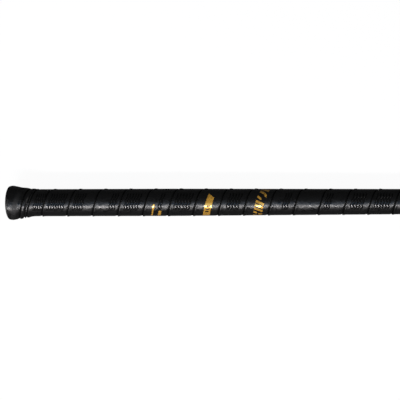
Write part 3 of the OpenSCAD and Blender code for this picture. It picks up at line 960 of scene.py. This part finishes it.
class STICK_OT_shaft(bpy.types.Operator):
    """Turns the lacquered tube, its films and its blank label"""
    bl_idname = "stick.shaft"
    bl_label = "Shaft"

    def execute(self, context):
        shaft = context.scene.stick_shaft
        bevel = 0.3 * MM
        stations = [TUBE_LOW.x + bevel, shaft.taper_start, shaft.taper_start + shaft.taper_length, TUBE_HIGH.x - bevel]
        outer = [(x, tube_radius(x)) for x in stations]
        inner = [(x, tube_radius(x) - shaft.wall) for x in reversed(stations)]
        profile = ([(TUBE_LOW.x, outer[0][1] - bevel)] + outer + [(TUBE_HIGH.x, outer[-1][1] - bevel),
                   (TUBE_HIGH.x, inner[0][1] + bevel)] + inner + [(TUBE_LOW.x, inner[-1][1] + bevel)])
        tube = new_piece("shaft", lathe_mesh("shaft", profile), tube_material())
        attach(tube, "root")
        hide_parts("shaft_tube")
        self.film("upper_film", "decal_upper", UPPER_LOW, UPPER_HIGH, film_material("film_upper", 30, 9))
        self.film("lower_film", "decal_lower", LOWER_LOW, LOWER_HIGH, film_material("film_lower", 22, -7))
        self.label()
        paint_node("hosel_adhesive", glue_material("hosel_glue", (0.62, 0.58, 0.46)))
        return {"FINISHED"}

    def film(self, name, node, low, high, material):
        inside, outside = high.z - 0.2 * MM, high.z
        bevel = 0.08 * MM
        profile = [(low.x, inside), (low.x, outside - bevel), (low.x + bevel, outside),
                   (high.x - bevel, outside), (high.x, outside - bevel), (high.x, inside)]
        film = new_piece(name, lathe_mesh(name, profile), material)
        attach(film, "root")
        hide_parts(node)

    def label(self):
        """A thin patch with round corners, bent round the top of the shaft"""
        radius, thick = LABEL_HIGH.z, 0.2 * MM
        half_x, half_y = LABEL_HALF / MM, math.asin(LABEL_HIGH.y / radius) * radius / MM
        corner = 2.0
        outline = []
        for sx, sy, start in ((1, 1, 0), (-1, 1, 90), (-1, -1, 180), (1, -1, 270)):
            outline += arc((sx * (half_x - corner), sy * (half_y - corner)), corner, start, start + 90, 6)
        mesh = thin_slab([outline], radius - thick, radius)
        for vertex in mesh.vertices:
            x, y, r = vertex.co
            vertex.co = (LABEL_MIDDLE + x, r * math.sin(y / radius), r * math.cos(y / radius))
        point_faces_out(mesh)
        label = new_piece("blank_label", mesh, label_material(), smooth=False)
        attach(label, "root")
        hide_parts("approval_label")


class STICK_OT_finish(bpy.types.Operator):
    """Winds the thin tape that closes the grip"""
    bl_idname = "stick.finish"
    bl_label = "Finish tape"

    def execute(self, context):
        end = BAND_HIGH.x
        low = tube_radius(end) + 0.06 * MM
        high = FINISH_HIGH.z - 0.45 * MM
        bed = [(FINISH_LOW.x, high), (end - 0.6 * MM, high), (end, high - 0.25 * MM), (end + 1.2 * MM, low + 0.1 * MM),
               (end + 2.4 * MM, low), (FINISH_HIGH.x, low)]
        section = [(0, 0.16), (0.6, 0.05), (5, 0), (9.8, 0), (9.9, 0.14), (8.4, 0.2), (7.2, 0.24), (5.2, 0.25),
                   (3, 0.27), (1.2, 0.33), (0.4, 0.36), (0.05, 0.3)]
        outline = section_object("finish_section", section)
        turn, pitch, steps = math.tau * 14 * MM, 8 * MM, 96
        values = {"Section": outline, "From": -1.1 * turn, "To": (FINISH_HIGH.x - FINISH_LOW.x) / pitch * turn,
                  "Step": turn / steps, "Seam": FINISH_LOW.x, "Pitch": pitch, "Turn length": turn,
                  "Start": FINISH_LOW.x, "End": FINISH_HIGH.x}
        material = finish_material()
        tree = wound_band_tree("Wound finish tape", winding_group("Wind over the grip's end", bed), material)
        piece, mesh = grown_piece("finish_tape_winding", bpy.data.meshes.new("finish_tape_winding"), tree, values,
                                  material)
        point_faces_out(mesh, merge=BAND_MERGE)
        bpy.data.objects.remove(outline)
        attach(piece, "root")
        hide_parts("finish_tape")
        return {"FINISHED"}


class STICK_OT_blade(bpy.types.Operator):
    """Rounds the moulded blade and finishes its screws"""
    bl_idname = "stick.blade"
    bl_label = "Blade"

    def execute(self, context):
        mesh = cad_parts["blade"].data.copy()
        point_faces_out(mesh, merge=0.01 * MM)
        material = blade_material()
        piece = new_piece("blade_moulding", mesh, material)
        remesh = piece.modifiers.new("Round edges", "REMESH")
        remesh.mode = "VOXEL"
        remesh.voxel_size = context.scene.stick_blade.voxel * 1
        smooth = piece.modifiers.new("Soften", "SMOOTH")
        smooth.factor = 0.5
        smooth.iterations = 8
        settle(piece, material)
        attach(piece, "root")
        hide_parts("blade")
        paint_node("blade_screws", steel_material())
        return {"FINISHED"}


# Lamps: place, the point that each looks at, the two sides of its panel, its colour and its power's setting
LAMPS = {
    "strip_lamp": ((-0.1, -0.91, 1.17), (0.22, 0, 0), (2.4, 0.10), (0.99, 0.96, 0.96), "strip_power"),
    "butt_strip_lamp": ((-0.33, -0.91, 1.17), (-0.05, 0, 0), (0.45, 0.10), (1.0, 0.94, 0.90), "butt_strip_power"),
    "skirt_lamp": ((-0.1, -0.74, 1.9), (0.22, 0, 0), (2.6, 1.0), (0.3, 0.6, 1.0), "skirt_power"),
    "butt_lamp": ((-2.6, 0, 1.5), (0.2, 0, 0), (1.6, 1.6), (1.0, 0.98, 0.96), "fill_power"),
    "blade_lamp": ((3.4, 0, 1.5), (0.6, 0, 0), (1.6, 1.6), (1.0, 0.98, 0.96), "fill_power"),
}


class STICK_OT_stage(bpy.types.Operator):
    """Sets the floor, the lamps, the sky and the camera"""
    bl_idname = "stick.stage"
    bl_label = "Stage"

    def execute(self, context):
        stage = context.scene.stick_stage
        self.floor()
        self.sky(context, stage.sky)
        for name, (place, aim, sides, colour, power) in LAMPS.items():
            self.lamp(context, name, place, aim, sides, colour, getattr(stage, power))
        self.camera(context, stage)
        context.scene.view_settings.view_transform = "Standard"
        return {"FINISHED"}

    def floor(self):
        """A wide pale floor that touches the knob and the blade's hosel"""
        knob, hosel = 9 * MM, TUBE_HIGH.x
        low_knob = -BAND_HIGH.z
        slope = (BLADE_LOW.z - low_knob) / (hosel - knob)
        reach, gap = 8.0, 0.3 * MM
        vertices = [(x, y, low_knob + slope * (x - knob) - gap) for x, y in
                    ((-reach, -reach), (reach, -reach), (reach, reach), (-reach, reach))]
        floor = new_piece("floor", mesh_from("floor", vertices, [(0, 1, 2, 3)]), self.floor_material(), smooth=False)

    def floor_material(self):
        """Dark paint that the camera sees as near white, and that shows only faintly in glossy surfaces"""
        paint = SurfaceFinish("studio_floor", Roughness=0.9, Specular_IOR_Level=0.1)
        paint.set("Base Color", (0.05, 0.05, 0.05, 1))
        paint.bump(paint.noise(paint.place, 40.0, detail=3.0), 0.02)
        rays = paint.add("ShaderNodeLightPath").outputs
        mirrored = paint.math("MAXIMUM", rays["Is Glossy Ray"], rays["Is Transmission Ray"])
        seen = paint.math("MAXIMUM", rays["Is Camera Ray"], paint.times(mirrored, MIRRORED_SHARE))
        glow = paint.add("ShaderNodeEmission", {"Color": (1, 1, 1, 1), "Strength": paint.times(seen, FLOOR_WHITE)})
        both = paint.add("ShaderNodeAddShader", {0: paint.bsdf.outputs[0], 1: glow.outputs[0]})
        paint.feed(paint.tree.nodes["Material Output"].inputs["Surface"], both.outputs[0])
        return paint.material

    def sky(self, context, strength):
        world = bpy.data.worlds.new("studio_sky")
        world.use_nodes = True
        context.scene.world = world
        nodes = Nodes(world.node_tree)
        seen = nodes.add("ShaderNodeLightPath").outputs["Is Camera Ray"]
        background = world.node_tree.nodes["Background"]
        nodes.feed(background.inputs["Color"], (1, 1, 1, 1))
        nodes.feed(background.inputs["Strength"], nodes.fade(seen, 0, 1, strength, 1.0))

    def lamp(self, context, name, place, aim, sides, colour, power):
        light = bpy.data.lights.new(name, "AREA")
        light.shape = "RECTANGLE"
        light.size, light.size_y = sides
        light.energy = power
        light.color = colour
        lamp = bpy.data.objects.new(name, light)
        context.scene.collection.objects.link(lamp)
        lamp.location = place
        lamp.rotation_euler = facing(Vector(place) - Vector(aim)).to_euler()
        lamp.visible_camera = False

    def camera(self, context, stage):
        data = bpy.data.cameras.new("camera")
        data.lens = data.sensor_width * stage.distance / stage.span
        data.clip_end = 100
        camera = bpy.data.objects.new("camera", data)
        context.scene.collection.objects.link(camera)
        back = Vector((math.sin(stage.yaw), 0, math.cos(stage.yaw)))
        camera.location = Vector(stage.target) + back * stage.distance
        camera.rotation_euler = (facing(back) @ Matrix.Rotation(stage.roll, 3, "Z")).to_euler()
        context.scene.camera = camera


def facing(back):
    """Turn of a lamp or camera that looks away from back, with its long side as near as it can be to the shaft"""
    back = back.normalized()
    side = Vector((1, 0, 0))
    side = (side - back * side.dot(back)).normalized()
    return Matrix((side, back.cross(side), back)).transposed()


def paint_node(name, material):
    """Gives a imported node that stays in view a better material"""
    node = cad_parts[name]
    if not node.material_slots:
        node.data.materials.append(None)
    for slot in node.material_slots:
        slot.material = material


# ---- panel and registration ----

class STICK_PT_panel(bpy.types.Panel):
    """Lists the steps that build the stick"""
    bl_idname = "STICK_PT_panel"
    bl_label = "Floorball stick"
    bl_space_type = "VIEW_3D"
    bl_region_type = "UI"
    bl_category = "Stick"

    def draw(self, context):
        for step in STEPS:
            self.layout.operator(step.bl_idname)
        for group in (context.scene.stick_shaft, context.scene.stick_band, context.scene.stick_blade,
                      context.scene.stick_stage):
            box = self.layout.box()
            for label in group.bl_rna.properties.keys()[2:]:
                box.prop(group, label)


SETTINGS = {"stick_shaft": StickShaftSettings, "stick_band": StickBandSettings,
            "stick_blade": StickBladeSettings, "stick_stage": StickStageSettings}
STEPS = [STICK_OT_stage, STICK_OT_grip, STICK_OT_prints, STICK_OT_butt, STICK_OT_shaft, STICK_OT_finish,
         STICK_OT_blade]
CLASSES = [*SETTINGS.values(), *STEPS, STICK_PT_panel]


def register():
    for cls in CLASSES:
        bpy.utils.register_class(cls)
    for name, settings in SETTINGS.items():
        setattr(bpy.types.Scene, name, PointerProperty(type=settings))


def unregister():
    for name in SETTINGS:
        delattr(bpy.types.Scene, name)
    for cls in reversed(CLASSES):
        bpy.utils.unregister_class(cls)


def main():
    register()
    SHADER_GROUPS.update(grain=grain_group(), wear=wear_group(), scratches=scratch_group())
    bpy.ops.stick.stage()
    bpy.ops.stick.grip()
    bpy.ops.stick.prints()
    bpy.ops.stick.butt()
    bpy.ops.stick.shaft()
    bpy.ops.stick.finish()
    bpy.ops.stick.blade()


if __name__ == "__main__":
    main()
